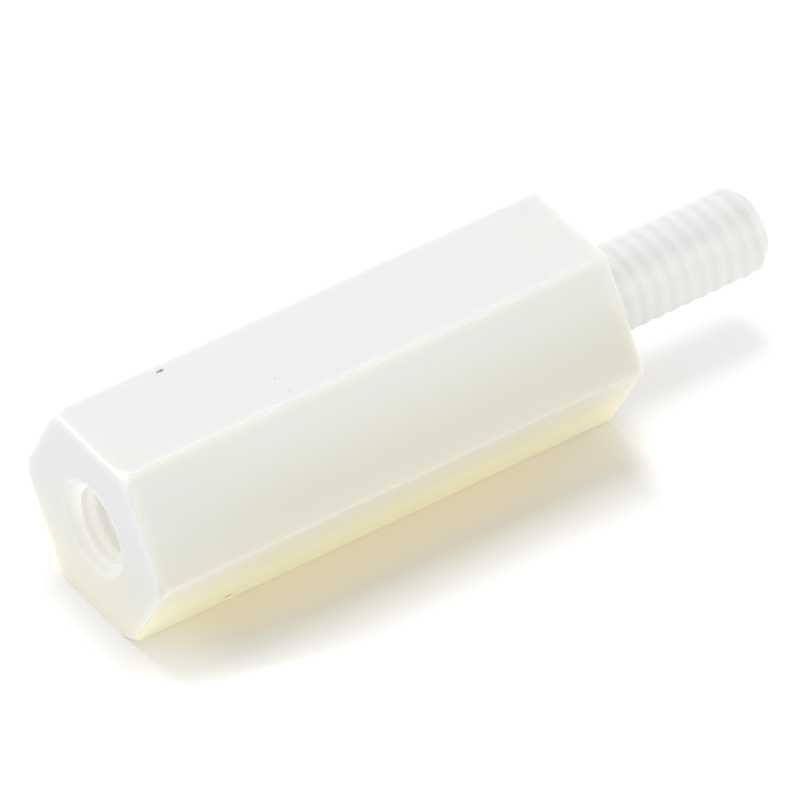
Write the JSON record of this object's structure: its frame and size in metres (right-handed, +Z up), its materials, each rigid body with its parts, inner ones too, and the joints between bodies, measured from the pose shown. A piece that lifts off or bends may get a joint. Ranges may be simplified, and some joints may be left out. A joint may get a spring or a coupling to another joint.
{
  "type": "hex standoff",
  "caption": "Male-female hex standoff: a hexagonal plastic spacer with a tapped blind hole in one end and a threaded stud on the other, lying on one flat.",
  "frame": {"origin": "middle of the footprint of the standoff as it lies on one flat, on the surface it lies on", "axes": "+X along the standoff's axis, from the tapped end to the stud's tip; +Z up; +Y across the flats"},
  "size_m": [0.035, 0.011, 0.0095],
  "materials": {
    "nylon": "satin"
  },
  "bodies": {
    "root": {"hex_standoff": "nylon"}
  },
  "joints": []
}
